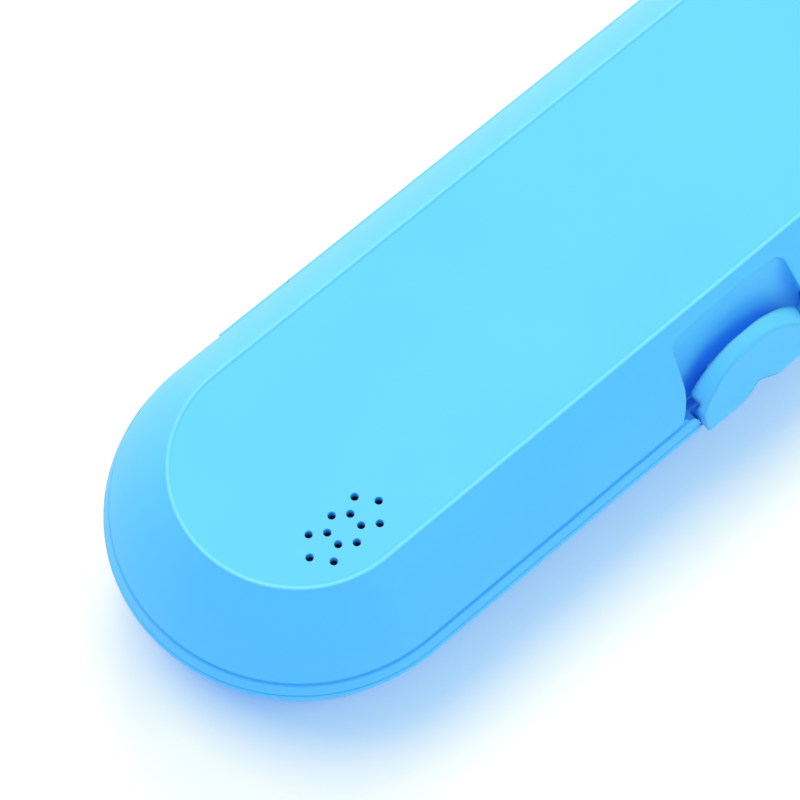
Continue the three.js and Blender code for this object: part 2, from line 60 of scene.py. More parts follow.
# How near vertices are made one, in a new form and after a cut
SAME = 0.002
SAME_AFTER_CUT = 0.004

# The lid
LID_RIM_RADIUS = 33.6
LID_FOOT_RADIUS = 23.0
LID_FOOT_Z = 39.8
LID_BULGE = 0.9
LID_WALL_ACROSS = 2.365
BEAD_TOP_Z = 40.25
VENT_RADIUS = 0.72
VENT_CENTRE = (-78.9, -13.9)
VENT_ROWS = ((0.0, (-3.25, 3.25)), (2.6, (-1.4, 1.4)), (5.2, (-3.25, 3.25)), (7.8, (0.0,)))

# The recess in the lid, and the catch at its foot
RECESS_TOP_Z = 38.0
RECESS_TOP_HALF = 13.2
RECESS_WAIST_Z = 28.95
RECESS_WAIST_HALF = 14.3
RECESS_MOUTH_HALF = 17.2
RECESS_FLARE = (15.3, 25.3)
RECESS_TOP_OUT = 24.4
RECESS_FOOT_OUT = 28.3
RECESS_WALL = 1.8
RECESS_BACK_ROUNDING = 1.1
HOUSING_FOOT_Z = LID_RIM_Z + 0.15
HOUSING_TOP_Z = TOP_Z - 1.0
HOUSING_BEND_Z = 31.0
HOUSING_INSET = 1.1
HOUSING_TOP_INSET = 0.9
SKIRT_FOOT_Z = 20.3
CATCH_TOP_Z = 24.0
CATCH_OUT = 32.0
CATCH_HALF = 6.5

# The base
BAND_FOOT = (34.6, 19.8)
BELLY_Z = 18.6
BASE_DRAFT = math.tan(math.radians(18.0))
BASE_WALL_ACROSS = 2.1
RIM_OUT = 33.28
NECK_Z = 22.05
TONGUE_OUT = 30.2
TONGUE_IN = 29.2
TONGUE_TOP_Z = 23.85
TONGUE_BREAK_HALF = 19.6

# The hinge
HINGE_Y = 32.2
HINGE_Z = 22.85
BARREL_RADIUS = 1.65
HINGE_BORE = 1.05
ROD_RADIUS = 0.75
ROD_HALF = 66.7
ROD_BORE_HALF = 67.3
BASE_KNUCKLES = ((-67.0, -51.4), (51.4, 67.0))
LID_KNUCKLE = (-51.1, 51.1)
WEB_TURN = math.radians(30.0)
WEB_INNER_Y = HINGE_Y - 1.5
WEB_FOOT_Z = HINGE_Z - 2.6
RELIEF_RADIUS = 2.5
RELIEF_HALF = 112.0
RELIEF_IN = 0.8

# The latch and its pocket
PIVOT_OUT = 33.4
PIVOT_Z = 18.2
LATCH_HALF = 13.1
LATCH_ARCH = 15.9
LATCH_ARCH_SLOPE = 1.2 / 2.7
LATCH_TOP_Z = 31.95
LATCH_TOP_OUT = 29.8
LATCH_FOOT_Z = 15.5
LATCH_FOOT_ROUNDING = 4.4
LATCH_FRONT = -45.0
NOTCH_FOOT = (7.2, 15.0)
NOTCH_TOP = (0.6, 20.15)
PIN_HALF = 14.9
PIN_BORE_HALF = 15.2
POCKET_HALF = 13.5
POCKET_BACK_OUT = 30.4
POCKET_FLOOR_Z = 14.5
POCKET_WALL = 1.5
POCKET_WALL_OUT = 31.2
POCKET_WALL_IN = 28.9
SLOT_HALF = 16.3
SLOT_FLOOR_Z = 20.0
LUG_HALF = 2.0
LUG_RADIUS = 1.45

# The tray and what lies in it
TRAY_RADIUS = 28.4
TRAY_TOP_Z = 18.34
TRAY_FLANGE = 1.6
TRAY_WALL = 1.45
WELL_START = math.radians(12.0)
HANDLE_WELL_RADIUS = 15.0
HANDLE_WELL_Y = 11.8
HEAD_WELL_HALF = 10.4
HEAD_WELL_DEPTH = 14.0
HEAD_WELL_Y = -16.4
HEAD_WELL_FROM = 8.0
PAD_RADIUS = 14.7
PAD_INNER_RADIUS = 13.2
PAD_REACH = math.radians(68.0)
PAD_HALF = 7.0
INNER_PAD_X = 8.0
OUTER_PAD_X = 62.0
SADDLE_X = -50.0
SADDLE_HALF = 4.0
SADDLE_DROP = 2.4
NECK_RADIUS = 6.5

# The camera, which looks past the near end of the top face
CAMERA_TILT = math.radians(66.78)
CAMERA_TURN = math.radians(41.57)
CAMERA_DEPTH = 683.3
CAMERA_ACROSS = 17.27
CAMERA_UP = 11.15
CAMERA_LENS = 180.0
CAMERA_SENSOR = 36.0

LAMP_SIDE = 0.9
FLOOR_HALF = 3000.0
END_STEPS = 72


def from_mm(value):
    """A length in metres from millimetres."""
    return value * METRES


def vertices_of(result):
    """The vertices that a bmesh operator gives back."""
    return [part for part in result["geom"] if isinstance(part, bmesh.types.BMVert)]


def edges_of(result, key="geom"):
    """The edges that a bmesh operator gives back."""
    return [part for part in result[key] if isinstance(part, bmesh.types.BMEdge)]


def form(name, bm):
    """A closed form, still in millimetres, from a bmesh."""
    bmesh.ops.remove_doubles(bm, verts=bm.verts, dist=SAME)
    bmesh.ops.recalc_face_normals(bm, faces=bm.faces)
    mesh = bpy.data.meshes.new(name)
    bm.to_mesh(mesh)
    bm.free()
    made = bpy.data.objects.new(name, mesh)
    bpy.context.scene.collection.objects.link(made)
    return made


def corner_rounded(bm, line, roundings, segments=5):
    """Rounds the corners of a line of vertices where a rounding is given."""
    for vertex, rounding in zip(line, roundings):
        if rounding:
            bmesh.ops.bevel(
                bm,
                geom=[vertex],
                offset=rounding,
                offset_type="OFFSET",
                segments=segments,
                profile=0.5,
                affect="VERTICES",
                material=-1,
            )


def close_holes(bm):
    """Closes each hole with a flat face."""
    bmesh.ops.holes_fill(bm, edges=[edge for edge in bm.edges if edge.is_boundary], sides=0)


def pill(name, levels, half=END_X, x=0.0, y=0.0, steps=END_STEPS):
    """A round-ended form from [radius, height, rounding] levels, closed flat at both ends."""
    bm = bmesh.new()
    line = [bm.verts.new((x + half, y - level[0], level[1])) for level in levels]
    for pair in zip(line, line[1:]):
        bm.edges.new(pair)
    roundings = [level[2] if len(level) > 2 else 0.0 for level in levels]
    corner_rounded(bm, line, roundings)
    edges = list(bm.edges)
    for side in (1, -1):
        turned = bmesh.ops.spin(
            bm,
            geom=edges,
            cent=(x + side * half, y, 0.0),
            axis=(0.0, 0.0, 1.0),
            angle=math.pi,
            steps=steps,
        )
        edges = edges_of(turned, "geom_last")
        if half:
            drawn = bmesh.ops.extrude_edge_only(bm, edges=edges)
            moved = set(vertices_of(drawn))
            edges = [e for e in edges_of(drawn) if moved.issuperset(e.verts)]
            bmesh.ops.translate(bm, verts=list(moved), vec=(-side * 2 * half, 0.0, 0.0))
    bmesh.ops.remove_doubles(bm, verts=bm.verts, dist=SAME)
    close_holes(bm)
    return form(name, bm)


def prism(name, outline, low, high, along="X", roundings=None, segments=6):
    """An outline of [y, z], [x, z] or [x, y] points, drawn out along X, Y or Z."""
    bm = bmesh.new()
    axis = "XYZ".index(along)
    line = []
    for point in outline:
        place = [*point]
        place.insert(axis, low)
        line.append(bm.verts.new(place))
    bm.faces.new(line)
    if roundings:
        corner_rounded(bm, line, roundings, segments)
    grown = bmesh.ops.extrude_face_region(bm, geom=list(bm.faces))
    offset = [0.0, 0.0, 0.0]
    offset[axis] = high - low
    bmesh.ops.translate(bm, verts=vertices_of(grown), vec=offset)
    return form(name, bm)


def bar(name, radius, low, high, y, z, sides=48, chamfer=0.0):
    """A round bar along X, with its ends chamfered if asked."""
    bm = bmesh.new()
    turn = Matrix.Rotation(math.radians(90.0), 4, "Y")
    place = Matrix.Translation(((low + high) / 2, y, z)) @ turn
    bmesh.ops.create_cone(
        bm,
        cap_ends=True,
        segments=sides,
        radius1=radius,
        radius2=radius,
        depth=high - low,
        matrix=place,
    )
    if chamfer:
        ends = [e for e in bm.edges if any(len(f.verts) > 4 for f in e.link_faces)]
        round_over(bm, ends, chamfer, 2)
    return form(name, bm)


def block(name, low, high):
    """A plain block between two corners, used to cut or to build up a form."""
    bm = bmesh.new()
    size = [b - a for a, b in zip(low, high)]
    middle = [(a + b) / 2 for a, b in zip(low, high)]
    place = Matrix.Translation(middle) @ Matrix.Diagonal((*size, 1.0))
    bmesh.ops.create_cube(bm, size=1.0, matrix=place)
    return form(name, bm)


def round_over(bm, edges, width, segments):
    """Rounds edges over."""
    bmesh.ops.bevel(
        bm,
        geom=edges,
        offset=width,
        offset_type="OFFSET",
        segments=segments,
        profile=0.5,
        affect="EDGES",
        material=-1,
        clamp_overlap=True,
    )


def soften(made, chosen, width, segments=3):
    """Rounds over the edges of a form that the choice picks out."""
    bm = bmesh.new()
    bm.from_mesh(made.data)
    edges = [edge for edge in bm.edges if len(edge.link_faces) == 2 and chosen(edge)]
    round_over(bm, edges, width, segments)
    bm.to_mesh(made.data)
    bm.free()
    return made


def sharper_than(degrees):
    """Picks edges that turn by more than an angle."""
    limit = math.radians(degrees)
    return lambda edge: edge.calc_face_angle(0.0) > limit


def marked(made, index):
    """Marks every face of a form, so that the line where it meets another can be found."""
    made.data.materials.clear()
    for _ in range(2):
        made.data.materials.append(None)
    for face in made.data.polygons:
        face.material_index = index


def combine(made, tool, operation):
    """Leaves in a form what an exact boolean makes of it and the tool, and removes the tool."""
    step = made.modifiers.new("step", "BOOLEAN")
    step.object = tool
    step.operation = operation
    step.solver = "EXACT"
    step.material_mode = "INDEX"
    bpy.context.view_layer.update()
    graph = bpy.context.evaluated_depsgraph_get()
    mesh = bpy.data.meshes.new_from_object(made.evaluated_get(graph))
    made.modifiers.clear()
    old = made.data
    made.data = mesh
    bpy.data.meshes.remove(old)
    bpy.data.objects.remove(tool)


def worked(made, tool, operation, rounding=0.0, segments=3, within=None):
    """Joins, cuts or trims a form with another one, and rounds the line where the two meet."""
    marked(made, 0)
    marked(tool, 1)
    combine(made, tool, operation)
    bm = bmesh.new()
    bm.from_mesh(made.data)
    bmesh.ops.remove_doubles(bm, verts=bm.verts, dist=SAME_AFTER_CUT)
    bmesh.ops.dissolve_degenerate(bm, edges=bm.edges, dist=SAME_AFTER_CUT)
    if rounding:
        seam = []
        for edge in bm.edges:
            marks = {face.material_index for face in edge.link_faces}
            if marks == {0, 1} and (within is None or within(edge)):
                seam.append(edge)
        round_over(bm, seam, rounding, segments)
    close_holes(bm)
    bm.to_mesh(made.data)
    bm.free()
    return made


def cut(made, tool, rounding=0.0, segments=3, within=None):
    """Takes the tool away from a form."""
    return worked(made, tool, "DIFFERENCE", rounding, segments, within)


def join(made, tool, rounding=0.0, segments=3, within=None):
    """Adds the tool to a form."""
    return worked(made, tool, "UNION", rounding, segments, within)


def trim(made, tool, rounding=0.0, segments=3, within=None):
    """Leaves what a form and the tool share."""
    return worked(made, tool, "INTERSECT", rounding, segments, within)


def farthest(edge):
    """How far towards the hinge an edge reaches."""
    return max(vertex.co.y for vertex in edge.verts)


def curve_points(start, lean_start, lean_end, end, count):
    """Points on a smooth curve between two places."""
    knots = [Vector((*point, 0.0)) for point in (start, lean_start, lean_end, end)]
    return [(point.x, point.y) for point in geometry.interpolate_bezier(*knots, count)]


def bend(start, control, end, count):
    """Points on a curve that leans on one control point."""
    first = [a + (b - a) * 2 / 3 for a, b in zip(start, control)]
    second = [a + (b - a) * 2 / 3 for a, b in zip(end, control)]
    return curve_points(start, first, second, end, count)


def mirrored(points):
    """An outline of the points given and their mirror images on the other side."""
    return [*points, *((-x, along) for x, along in reversed(points))]


# The lid


def lid_wall(z):
    """The radius of the lid's outer wall at a height."""
    share = (z - LID_RIM_Z) / (LID_FOOT_Z - LID_RIM_Z)
    straight = LID_RIM_RADIUS + (LID_FOOT_RADIUS - LID_RIM_RADIUS) * share
    return straight + LID_BULGE * (1.0 - (2.0 * share - 1.0) ** 2)


def lid_profile():
    """The lid's section, from the ceiling inside, round the rim and over the bead."""
    ceiling_z = TOP_Z - WALL
    inside = [[lid_wall(ceiling_z) - LID_WALL_ACROSS, ceiling_z, 1.6]]
    for step in range(1, 10):
        z = ceiling_z + (LID_RIM_Z - ceiling_z) * step / 9
        inside.append([lid_wall(z) - LID_WALL_ACROSS, z])
    start = [inside[0][0] - 3.0, ceiling_z]
    outside = [[LID_RIM_RADIUS, LID_RIM_Z, 0.35]]
    for step in range(1, 15):
        z = LID_RIM_Z + (LID_FOOT_Z - LID_RIM_Z) * step / 14
        outside.append([lid_wall(z), z])
    bead = [
        [22.84, 40.12, 0.1],
        [22.58, BEAD_TOP_Z, 0.12],
        [22.34, BEAD_TOP_Z, 0.12],
        [21.98, TOP_Z - 0.03, 0.1],
        [21.7, TOP_Z, 0.08],
        [21.3, TOP_Z],
    ]
    return [start, *inside, *outside, *bead]


def recess_outline(margin, low_z):
    """The recess as it shows from the front, widened by a margin."""
    top, waist, mouth = (
        half + margin for half in (RECESS_TOP_HALF, RECESS_WAIST_HALF, RECESS_MOUTH_HALF)
    )
    top_z = RECESS_TOP_Z + margin
    lean = (RECESS_FLARE[0] + margin, RECESS_FLARE[1])
    flare = bend((mouth, LID_RIM_Z), lean, (waist, RECESS_WAIST_Z), 12)
    outline = mirrored([(mouth, low_z), *flare, (top, top_z)])
    roundings = [2.2 + margin if z == top_z else 0.0 for _, z in outline]
    return outline, roundings


def recess_back(z):
    """The place of the recess's slanted back at a height."""
    share = (z - CATCH_TOP_Z) / (RECESS_TOP_Z - CATCH_TOP_Z)
    return -(RECESS_FOOT_OUT + (RECESS_TOP_OUT - RECESS_FOOT_OUT) * share)


def recess_housing():
    """The wall inside the lid, behind the recess."""
    outline, roundings = recess_outline(RECESS_WALL, LID_RIM_Z)
    front = prism("housing", outline, -SIDE, 0.0, "Y", roundings)
    section = [
        (-lid_wall(HOUSING_FOOT_Z) + HOUSING_INSET, HOUSING_FOOT_Z),
        (recess_back(HOUSING_FOOT_Z) + RECESS_WALL, HOUSING_FOOT_Z),
        (recess_back(HOUSING_TOP_Z) + RECESS_WALL, HOUSING_TOP_Z),
        (-lid_wall(HOUSING_TOP_Z) + HOUSING_TOP_INSET, HOUSING_TOP_Z),
        (-lid_wall(HOUSING_BEND_Z) + HOUSING_INSET, HOUSING_BEND_Z),
    ]
    return trim(front, prism("housing_side", section, -SIDE, SIDE))


def recess_back_strip(half, margin, low_z, high_z):
    """A slanted strip along the recess's back wall between two heights, widened by a margin."""
    section = [
        (recess_back(low_z) - margin, low_z),
        (recess_back(low_z) + RECESS_WALL + margin, low_z),
        (recess_back(high_z) + RECESS_WALL + margin, high_z),
        (recess_back(high_z) - margin, high_z),
    ]
    return prism("strip", section, -half, half)


def recess_hollow():
    """What the recess takes away, but for the catch in its middle that the latch hooks over."""
    low_z, high_z = LID_RIM_Z - BEYOND, TOP_Z + 1.0
    outline, roundings = recess_outline(0.0, low_z)
    front = prism("recess", outline, -SIDE - BEYOND, 0.0, "Y", roundings, 8)
    section = [
        (-SIDE - BEYOND, low_z),
        (recess_back(low_z), low_z),
        (recess_back(high_z), high_z),
        (-SIDE - BEYOND, high_z),
    ]
    hollow = trim(front, prism("recess_side", section, -SIDE, SIDE))
    low = (-CATCH_HALF, -CATCH_OUT, low_z - 1.0)
    hollow = cut(hollow, block("catch", low, (CATCH_HALF, 0.0, CATCH_TOP_Z)))

    def at_back(edge):
        middle = (edge.verts[0].co + edge.verts[1].co) / 2
        on_back = abs(middle.y - recess_back(middle.z)) < 0.05
        return on_back and abs(middle.x) > CATCH_HALF + 0.1 and sharper_than(30)(edge)

    return soften(hollow, at_back, RECESS_BACK_ROUNDING, 5)


def vent_places():
    """The centres of the vents in the lid's top."""
    centre_x, centre_y = VENT_CENTRE
    for along, across in VENT_ROWS:
        for x in {along, -along}:
            for y in across:
                yield centre_x + x, centre_y + y


def vent(x, y):
    """One vent, right through the lid's top."""
    bm = bmesh.new()
    place = Matrix.Translation((x, y, TOP_Z - 1.0))
    bmesh.ops.create_cone(
        bm,
        cap_ends=True,
        segments=24,
        radius1=VENT_RADIUS,
        radius2=VENT_RADIUS,
        depth=2 * WALL,
        matrix=place,
    )
    return form("vent", bm)


def barrel(low, high):
    """A hinge barrel."""
    return bar("barrel", BARREL_RADIUS, low, high, HINGE_Y, HINGE_Z, chamfer=0.15)


def knuckle(low, high):
    """A hinge barrel of the base and the web that carries it."""
    tangent_y = HINGE_Y + BARREL_RADIUS * math.cos(WEB_TURN)
    tangent_z = HINGE_Z - BARREL_RADIUS * math.sin(WEB_TURN)
    section = [
        (WEB_INNER_Y, BASE_RIM_Z),
        (HINGE_Y, BASE_RIM_Z),
        (tangent_y, tangent_z),
        (tangent_y - (tangent_z - WEB_FOOT_Z) * math.tan(WEB_TURN), WEB_FOOT_Z),
        (WEB_INNER_Y, WEB_FOOT_Z),
    ]
    return join(barrel(low, high), prism("web", section, low + 2 * HAIR, high - 2 * HAIR))


def knuckle_room(low, high):
    """Room round a barrel of the other shell."""
    return bar("room", BARREL_RADIUS + SEAM, low - SEAM, high + SEAM, HINGE_Y, HINGE_Z)


def past_hinge(edge):
    """Picks edges on the outer side of the hinge's axis."""
    return edge.verts[0].co.y > HINGE_Y


def rod_bore():
    """The bore for the hinge's rod, through every barrel."""
    return bar("bore", HINGE_BORE, -ROD_BORE_HALF, ROD_BORE_HALF, HINGE_Y, HINGE_Z, 32)


def make_lid():
    """The lid with its recess, catch, skirt, barrel and vents."""
    lid = pill("lid_dress", lid_profile())
    lid = join(lid, recess_housing())
    lid = cut(lid, recess_hollow(), 0.45, 5)
    skirt_half, skirt_top_z = SLOT_HALF - SEAM, CATCH_TOP_Z + 0.3
    lid = join(lid, recess_back_strip(skirt_half, -2 * HAIR, SKIRT_FOOT_Z, skirt_top_z))
    lid = join(lid, barrel(*LID_KNUCKLE), 0.3, 3, past_hinge)
    for low, high in BASE_KNUCKLES:
        lid = cut(lid, knuckle_room(low, high), 0.12, 2)
    for x, y in vent_places():
        lid = cut(lid, vent(x, y), 0.1, 2)
    return cut(lid, rod_bore())


# The base


def base_wall(z):
    """The radius of the base's outer wall at a height."""
    return SIDE - (BELLY_Z - z) * BASE_DRAFT


def base_profile():
    """The base's section, from the floor inside, over the tongue and rim to the underside."""
    ledge_z = BASE_RIM_Z - 2.8
    slope_z = ledge_z - 2.4
    return [
        [22.0, WALL],
        [base_wall(WALL) - BASE_WALL_ACROSS, WALL, 3.6],
        [base_wall(slope_z) - BASE_WALL_ACROSS, slope_z, 0.4],
        [TONGUE_IN, ledge_z, 0.4],
        [TONGUE_IN, TONGUE_TOP_Z, 0.25],
        [TONGUE_OUT, TONGUE_TOP_Z, 0.25],
        [TONGUE_OUT, BASE_RIM_Z],
        [RIM_OUT, BASE_RIM_Z, 0.1],
        [RIM_OUT, NECK_Z, 0.15],
        [33.86, NECK_Z, 0.18],
        [*BAND_FOOT, 0.1],
        [34.3, 19.5, 0.05],
        [34.66, 19.36, 0.08],
        [SIDE, BELLY_Z, 0.6],
        [base_wall(13.0), 13.0],
        [base_wall(0.0), 0.0, 5.0],
        [20.0, 0.0],
    ]


def make_lug(radius, half):
    """The lug that carries the middle of the latch's pin, or the room round it."""
    lug = bar("lug", radius, -half, half, -PIVOT_OUT, PIVOT_Z, 40)
    low = (2 * HAIR - half, -PIVOT_OUT, PIVOT_Z - radius + HAIR)
    return join(lug, block("arm", low, (half - 2 * HAIR, -29.6, PIVOT_Z + radius - HAIR)))


def tongue_break():
    """The gap in the tongue behind the latch."""
    low_z = BASE_RIM_Z + HAIR
    low = (-TONGUE_BREAK_HALF, -SIDE, low_z)
    return block("gap", low, (TONGUE_BREAK_HALF, 0.0, low_z + BEYOND))


def pocket_wall():
    """The wall inside the base, behind the latch's pocket."""
    half = SLOT_HALF + POCKET_WALL
    low = (-half, -POCKET_WALL_OUT, POCKET_FLOOR_Z - POCKET_WALL)
    return block("housing", low, (half, -POCKET_WALL_IN, BASE_RIM_Z - HAIR))


def latch_slot():
    """The shallow slot beside the latch, which the recess's back wall and skirt pass through."""
    slot = mirrored([(POCKET_HALF - 0.1, -34.3), (SLOT_HALF, -32.9), (SLOT_HALF, -28.8)])
    roundings = [0.0, 0.5, 0.0, 0.0, 0.5, 0.0]
    slot = prism("slot", slot, SLOT_FLOOR_Z, BASE_RIM_Z + BEYOND, "Z", roundings)
    low_z, high_z = SLOT_FLOOR_Z + HAIR, BASE_RIM_Z + 4.0
    return join(slot, recess_back_strip(SLOT_HALF - HAIR, SEAM, low_z, high_z))


def latch_pocket():
    """Room in the base for the latch, with a slope at its back that lets the hook swing."""
    pocket = block(
        "pocket",
        (-POCKET_HALF, -SIDE - BEYOND, POCKET_FLOOR_Z),
        (POCKET_HALF, -POCKET_BACK_OUT, BASE_RIM_Z + BEYOND),
    )
    slope = [(-30.6, 17.0), (-29.73, 20.1), (-30.6, 20.1)]
    pocket = join(pocket, prism("slope", slope, HAIR - POCKET_HALF, POCKET_HALF - HAIR))
    return join(pocket, latch_slot())


def pocket_mouth(edge):
    """Picks edges of the pocket and slot on the outside of the base."""
    return farthest(edge) < -30.9


def hinge_relief():
    """Room round the hinge's outer side, in which the lid's wall turns."""
    relief = bar("relief", RELIEF_RADIUS, -RELIEF_HALF, RELIEF_HALF, HINGE_Y, HINGE_Z, 64)
    half = RELIEF_HALF + 1.0
    low = (-half, HINGE_Y - RELIEF_IN, 0.0)
    return trim(relief, block("outer", low, (half, SIDE + BEYOND, TOP_Z)))


def relief_edge(edge):
    """Picks edges of the relief on the outside of the base."""
    return edge.verts[0].co.y > HINGE_Y + 1.0


def make_base():
    """The base with its latch pocket, lug, hinge relief and barrels."""
    base = pill("base_dress", base_profile())
    base = cut(base, tongue_break())
    base = join(base, pocket_wall())
    base = cut(base, latch_pocket(), 0.3, 3, pocket_mouth)
    base = join(base, make_lug(LUG_RADIUS, LUG_HALF), 0.2, 2)
    pin_bore = bar("bore", HINGE_BORE, -PIN_BORE_HALF, PIN_BORE_HALF, -PIVOT_OUT, PIVOT_Z, 32)
    base = cut(base, pin_bore)
    base = cut(base, hinge_relief(), 0.12, 2, relief_edge)
    for low, high in BASE_KNUCKLES:
        base = join(base, knuckle(low, high))
    base = cut(base, knuckle_room(*LID_KNUCKLE))
    return cut(base, rod_bore())


# The latch


def latch_section():
    """The latch from the side: a leaning plate, a hook at its back and a tail round its pin."""
    section = [
        (-LATCH_TOP_OUT, LATCH_TOP_Z, 0.35),
        (-32.5, LATCH_TOP_Z - 1.2, 0.9),
        (-36.1, 18.5, 1.2),
        (-36.0, 15.6, 2.3),
        (-33.0, 15.6, 0.5),
        (-31.8, 16.7, 0.6),
        (-31.6, 19.0, 0.8),
        (-33.0, 22.6, 0.8),
        (-33.2, 24.3, 0.3),
        (-30.7, 24.8, 0.3),
    ]
    points = [(y, z) for y, z, _ in section]
    half = LATCH_HALF + 2.0
    return prism("latch_dress", points, -half, half, "X", [r for _, _, r in section])


def latch_arch():
    """The round form that gives the latch its arched top, which falls towards the front."""
    slope = Matrix.Identity(4)
    slope[2][1] = LATCH_ARCH_SLOPE
    centre_z = LATCH_TOP_Z - LATCH_ARCH
    lift = Matrix.Translation((0.0, 0.0, centre_z + LATCH_TOP_OUT * LATCH_ARCH_SLOPE))
    reach = Matrix.Translation((0.0, -33.0, 0.0))
    lie = Matrix.Rotation(math.radians(90.0), 4, "X")
    bm = bmesh.new()
    bmesh.ops.create_cone(
        bm,
        cap_ends=True,
        segments=160,
        radius1=LATCH_ARCH,
        radius2=LATCH_ARCH,
        depth=20.0,
        matrix=lift @ slope @ reach @ lie,
    )
    return form("arch", bm)


def latch_foot():
    """The latch's round-cornered foot, as it shows from the front."""
    outline = mirrored([(LATCH_HALF, -LATCH_FRONT), (LATCH_HALF, LATCH_FOOT_Z)])
    roundings = [0.0, LATCH_FOOT_ROUNDING, LATCH_FOOT_ROUNDING, 0.0]
    return prism("foot", outline, LATCH_FRONT, 0.0, "Y", roundings, 12)


def latch_notch():
    """The flared notch between the latch's two lobes."""
    outline = mirrored([NOTCH_FOOT, NOTCH_TOP])
    return prism("notch", outline, LATCH_FRONT, 0.0, "Y", [0.0, 1.0, 1.0, 0.0])


def latch_front(edge):
    """Picks edges on the latch's front."""
    return farthest(edge) < -31.6


def make_latch():
    """The latch, arched at the top, notched in front and bored for its pin."""
    latch = trim(latch_section(), trim(latch_arch(), latch_foot()), 0.4, 4, latch_front)
    latch = cut(latch, latch_notch(), 0.35, 3)
    latch = cut(latch, make_lug(LUG_RADIUS + SEAM, LUG_HALF + SEAM))
    return cut(latch, bar("bore", HINGE_BORE, -20.0, 20.0, -PIVOT_OUT, PIVOT_Z, 32), 0.1, 1)


# The tray, the pads and the saddle


def well(name, radius, depth, half, x, y, top_z):
    """A round-bottomed well with round ends."""
    levels = []
    for step in range(13):
        angle = WELL_START + (math.pi / 2 - WELL_START) * step / 12
        levels.append([radius * math.sin(angle), TRAY_TOP_Z - depth * math.cos(angle)])
    if top_z > TRAY_TOP_Z:
        levels.append([radius, top_z])
    return pill(name, levels, half, x, y, 32)


def wells(margin, top_z):
    """The handle's well and the two for brush heads, with a margin round each."""
    head_from = HEAD_WELL_FROM + HEAD_WELL_HALF
    head_x, head_half = (head_from + END_X) / 2, (END_X - head_from) / 2
    radius, depth = HEAD_WELL_HALF + margin, HEAD_WELL_DEPTH + margin
    handle = HANDLE_WELL_RADIUS + margin
    return (
        well("handle_well", handle, handle, END_X, 0.0, HANDLE_WELL_Y, top_z),
        well("right_well", radius, depth, head_half, head_x, HEAD_WELL_Y, top_z),
        well("left_well", radius, depth, head_half, -head_x, HEAD_WELL_Y, top_z),
    )


def make_tray():
    """The tray: a flat rim with three wells under it."""
    flange_z = TRAY_TOP_Z - TRAY_FLANGE
    edge = [TRAY_RADIUS, flange_z, 0.3], [TRAY_RADIUS, TRAY_TOP_Z, 0.4]
    tray = pill("tray_dress", [[20.0, flange_z], *edge, [20.0, TRAY_TOP_Z]])
    for outer in wells(TRAY_WALL, TRAY_TOP_Z - TRAY_FLANGE / 2):
        tray = join(tray, outer, 0.3, 2)
    for hollow in wells(0.0, TRAY_TOP_Z + BEYOND):
        tray = cut(tray, hollow, 0.5, 3)
    return tray


def well_bottom(radius, high_angle, steps=16):
    """Points across the round bottom of the handle's well."""
    points = []
    for step in range(steps + 1):
        angle = WELL_START + (high_angle - WELL_START) * step / steps
        points.append((radius * math.sin(angle), -radius * math.cos(angle)))
    both = [(-y, z) for y, z in reversed(points)] + points
    return [(HANDLE_WELL_Y + y, TRAY_TOP_Z + z) for y, z in both]


def make_pad(name, x):
    """A curved pad on the bottom of the handle's well."""
    outer = well_bottom(PAD_RADIUS, PAD_REACH)
    inner = well_bottom(PAD_INNER_RADIUS, PAD_REACH)
    pad = prism(name, outer + inner[::-1], x - PAD_HALF, x + PAD_HALF)
    return soften(pad, sharper_than(40), 0.4, 3)


def make_saddle(x):
    """The saddle that fills the handle's well but for a round notch for the neck."""
    outer = well_bottom(PAD_RADIUS, math.acos(SADDLE_DROP / PAD_RADIUS))
    low = math.asin(SADDLE_DROP / NECK_RADIUS)
    neck = []
    for step in range(25):
        angle = -low + (low + low - math.pi) * step / 24
        across, down = NECK_RADIUS * math.cos(angle), NECK_RADIUS * math.sin(angle)
        neck.append((HANDLE_WELL_Y + across, TRAY_TOP_Z + down))
    saddle = prism("saddle_dress", outer + neck, x - SADDLE_HALF, x + SADDLE_HALF)
    return soften(saddle, sharper_than(35), 0.5, 3)


# Finishes


def shader(name, color, roughness, **settings):
    """A new material, its nodes, its links and its main shader."""
    material = bpy.data.materials.new(name)
    material.use_nodes = True
    nodes = material.node_tree.nodes
    main = nodes["Principled BSDF"]
    main.inputs["Base Color"].default_value = (*color, 1.0)
    main.inputs["Roughness"].default_value = roughness
    for socket, value in settings.items():
        main.inputs[socket.replace("_", " ")].default_value = value
    return material, nodes, material.node_tree.links, main


def with_painted_bead_highlight(nodes, links, place, shades, bead):
    """The plastic's colour mixed with a paler one over the height of the lid's bead: a painted
    highlight along the bead's crown.
    """
    apart = nodes.new("ShaderNodeSeparateXYZ")
    links.new(place.outputs["Object"], apart.inputs["Vector"])
    height = nodes.new("ShaderNodeMapRange")
    height.inputs["From Min"].default_value = from_mm(TOP_Z + 0.02)
    height.inputs["From Max"].default_value = from_mm(BEAD_TOP_Z - 0.03)
    links.new(apart.outputs["Z"], height.inputs["Value"])
    mix = nodes.new("ShaderNodeMix")
    mix.data_type = "RGBA"
    links.new(height.outputs["Result"], mix.inputs["Factor"])
    links.new(shades.outputs["Color"], mix.inputs[6])
    mix.inputs[7].default_value = (*bead, 1.0)
    return mix.outputs[2]


